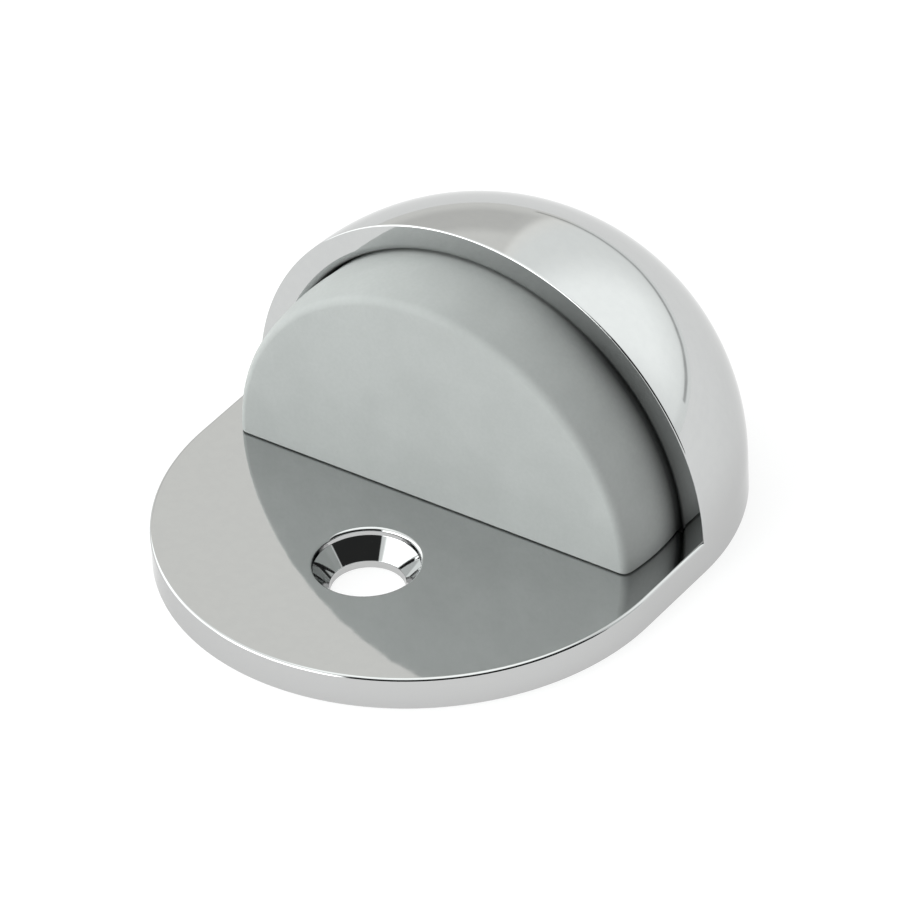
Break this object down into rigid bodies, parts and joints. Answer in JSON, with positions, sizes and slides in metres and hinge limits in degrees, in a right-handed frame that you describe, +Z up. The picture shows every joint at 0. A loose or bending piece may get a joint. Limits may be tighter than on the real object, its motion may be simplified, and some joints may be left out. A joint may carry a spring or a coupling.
{
  "type": "floor door stop",
  "caption": "Low floor door stop: an oval base plate with a countersunk screw hole and a half-dome hood round a half-ball rubber buffer.",
  "frame": {"origin": "centre of the footprint, on the floor face", "axes": "+Z up from the floor, -Y the side that the rubber face and the door are on, +X to the right when seen from the door, with the plate's length along Y"},
  "size_m": [0.045, 0.0538, 0.0255],
  "materials": {
    "chrome": "mirror-polished chrome plate on a zinc casting",
    "grey_rubber": "matt light grey moulded rubber",
    "brass": "turned and knurled, unpolished",
    "zinc_plated_steel": "bright zinc plate"
  },
  "bodies": {
    "root": {"stop_body": "chrome", "rubber_buffer": "grey_rubber", "threaded_insert_left": "brass", "threaded_insert_right": "brass", "retaining_screw_left": "zinc_plated_steel", "retaining_screw_right": "zinc_plated_steel"}
  },
  "joints": []
}
